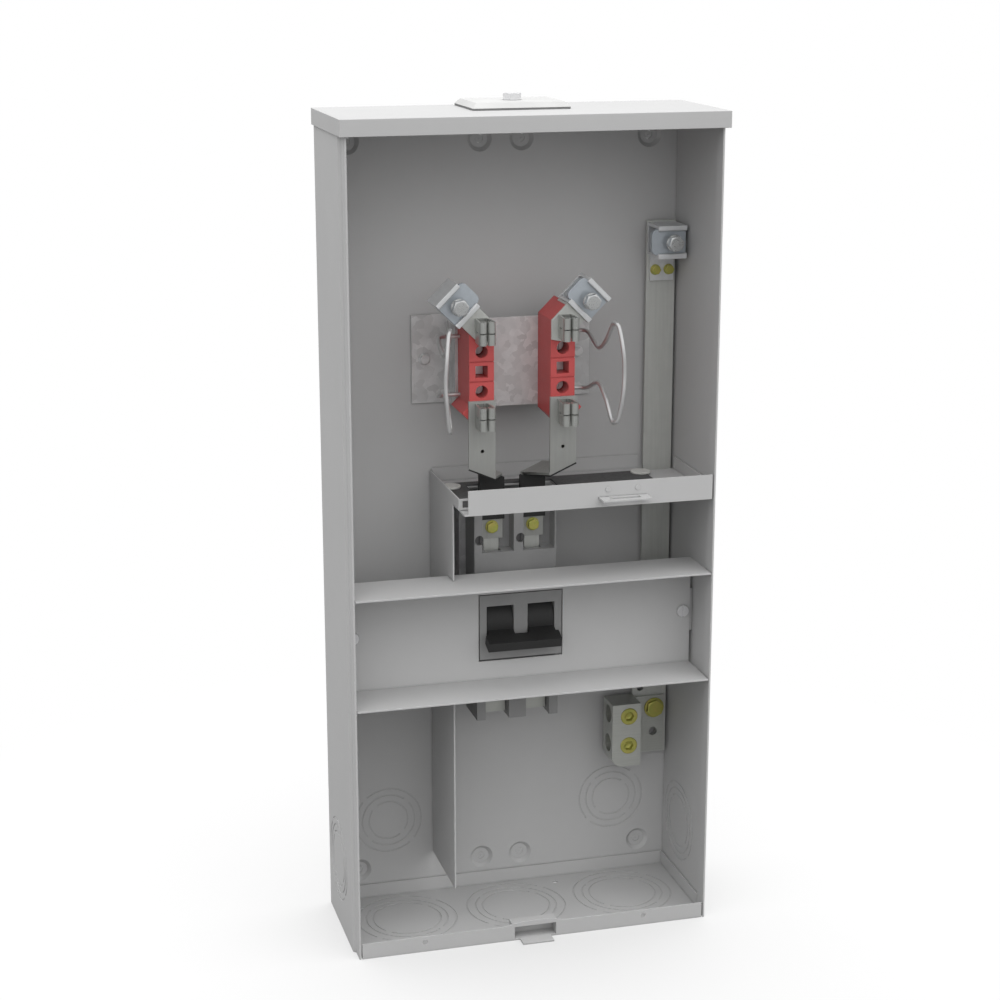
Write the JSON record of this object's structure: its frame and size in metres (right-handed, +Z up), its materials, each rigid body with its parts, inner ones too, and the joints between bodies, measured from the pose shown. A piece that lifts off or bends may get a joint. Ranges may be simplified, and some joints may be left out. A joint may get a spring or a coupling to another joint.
{
  "type": "meter socket enclosure",
  "caption": "Wall-mounted grey steel meter socket box, open at the front, with red jaw blocks, lugs, neutral strap and a main breaker behind a dead front.",
  "frame": {"origin": "middle of the rectangle of the four outer wall holes, on the wall", "axes": "+X to the right seen from the front, +Y into the wall so the open front faces -Y, +Z up"},
  "size_m": [0.3344, 0.1391, 0.7495],
  "materials": {
    "paint": "satin grey paint",
    "cast_zinc": "dull cast",
    "rubber": "matt",
    "zinc_steel": "clear zinc",
    "dark_steel": "black oxide",
    "barrier_grey": "matt dark grey sheet",
    "button_nylon": "natural nylon",
    "galvanised": "galvanised with spangle",
    "block_red": "moulded red",
    "tinned_strap": "dull tin plate",
    "jaw_metal": "tin plate",
    "lug_zinc": "bright zinc",
    "lug_blue": "blue grey zinc",
    "bolt_steel": "zinc plate",
    "wire_steel": "bright wire",
    "sleeve_black": "black insulation",
    "spacer_black": "black moulded",
    "yellow_zinc": "yellow chromate zinc",
    "lug_aluminium": "extruded",
    "breaker_grey": "moulded grey",
    "handle_black": "moulded black",
    "copper": "bare copper"
  },
  "bodies": {
    "enclosure": {"back_and_sides": "paint", "bottom_pan": "paint", "top_cap": "paint", "divider": "paint", "shelf": "paint", "dead_front_brackets": "paint", "seal_hasp": "paint", "hasp_rivets": "paint", "closing_plate": "cast_zinc", "closing_gasket": "rubber", "closing_bolt": "zinc_steel", "closing_bar": "zinc_steel", "block_screws": "zinc_steel", "cover_screws": "dark_steel", "handle_pin": "dark_steel", "shelf_barrier": "barrier_grey", "barrier_buttons": "button_nylon", "block_bracket": "galvanised", "breaker_bracket": "galvanised", "bracket_screws": "galvanised", "meter_block_left": "block_red", "meter_block_right": "block_red", "line_plate_left": "tinned_strap", "line_plate_right": "tinned_strap", "load_bus_left": "tinned_strap", "load_bus_right": "tinned_strap", "neutral_strap": "tinned_strap", "fixed_contacts": "tinned_strap", "meter_jaws": "jaw_metal", "line_lug_left": "lug_zinc", "line_lug_right": "lug_zinc", "neutral_line_lug": "lug_zinc", "lug_bridges": "lug_blue", "support_wire_left": "wire_steel", "support_wire_right": "wire_steel", "bus_sleeve_left": "sleeve_black", "bus_sleeve_right": "sleeve_black", "neutral_spacers": "spacer_black", "neutral_screws": "yellow_zinc", "bonding_screw": "yellow_zinc", "line_screws": "yellow_zinc", "load_lug_screws": "yellow_zinc", "neutral_load_lug": "lug_aluminium", "load_lugs": "lug_aluminium", "breaker_base": "breaker_grey", "breaker_cover": "breaker_grey", "trip_units": "copper"},
    "dead_front": {"dead_front": "paint", "dead_front_screws": "zinc_steel"},
    "handle": {"breaker_handle": "handle_black"},
    "contacts": {"contact_arms": "copper"},
    "pad_left": {"lug_pad_left": "lug_blue"},
    "bolt_left": {"lug_bolt_left": "bolt_steel"},
    "pad_right": {"lug_pad_right": "lug_blue"},
    "bolt_right": {"lug_bolt_right": "bolt_steel"},
    "pad_neutral": {"lug_pad_neutral": "lug_blue"},
    "bolt_neutral": {"lug_bolt_neutral": "bolt_steel"},
    "set_screw_upper": {"set_screw_upper": "yellow_zinc"},
    "set_screw_lower": {"set_screw_lower": "yellow_zinc"}
  },
  "joints": [
    {"name": "dead_front_pull", "type": "slide", "parent": "enclosure", "child": "dead_front", "axis": [0, -1, 0], "range_m": [0, 0.055]},
    {"name": "handle_throw", "type": "hinge", "parent": "enclosure", "child": "handle", "pos_m": [0, -0.0482, -0.0854], "axis": [-1, 0, 0], "range_deg": [0, 40]},
    {"name": "contact_close", "type": "hinge", "parent": "enclosure", "child": "contacts", "pos_m": [0, -0.0362, -0.1224], "axis": [1, 0, 0], "range_deg": [0, 5]},
    {"name": "pad_slide_left", "type": "slide", "parent": "enclosure", "child": "pad_left", "axis": [0, -1, 0], "range_m": [-0.0045, 0.0105]},
    {"name": "bolt_turn_left", "type": "hinge", "parent": "pad_left", "child": "bolt_left", "pos_m": [-0.05871, -0.0732, 0.20604], "axis": [0, -1, 0], "range_deg": [-1149, 2680]},
    {"name": "pad_slide_right", "type": "slide", "parent": "enclosure", "child": "pad_right", "axis": [0, -1, 0], "range_m": [-0.0045, 0.0105]},
    {"name": "bolt_turn_right", "type": "hinge", "parent": "pad_right", "child": "bolt_right", "pos_m": [0.05871, -0.0732, 0.20604], "axis": [0, -1, 0], "range_deg": [-1149, 2680]},
    {"name": "pad_slide_neutral", "type": "slide", "parent": "enclosure", "child": "pad_neutral", "axis": [0, -1, 0], "range_m": [-0.0045, 0.0105]},
    {"name": "bolt_turn_neutral", "type": "hinge", "parent": "pad_neutral", "child": "bolt_neutral", "pos_m": [0.1477, -0.0332, 0.2476], "axis": [0, -1, 0], "range_deg": [-1149, 2680]},
    {"name": "set_screw_upper_travel", "type": "slide", "parent": "enclosure", "child": "set_screw_upper", "axis": [0, -1, 0], "range_m": [-0.004, 0.009]},
    {"name": "set_screw_lower_travel", "type": "slide", "parent": "enclosure", "child": "set_screw_lower", "axis": [0, -1, 0], "range_m": [-0.004, 0.009]}
  ],
  "couplings": [
    {"joint": "contact_close", "follows": "handle_throw", "ratio": 0.125},
    {"joint": "bolt_turn_left", "follows": "pad_slide_left", "rad_per_m": 4453},
    {"joint": "bolt_turn_right", "follows": "pad_slide_right", "rad_per_m": 4453},
    {"joint": "bolt_turn_neutral", "follows": "pad_slide_neutral", "rad_per_m": 4453}
  ]
}
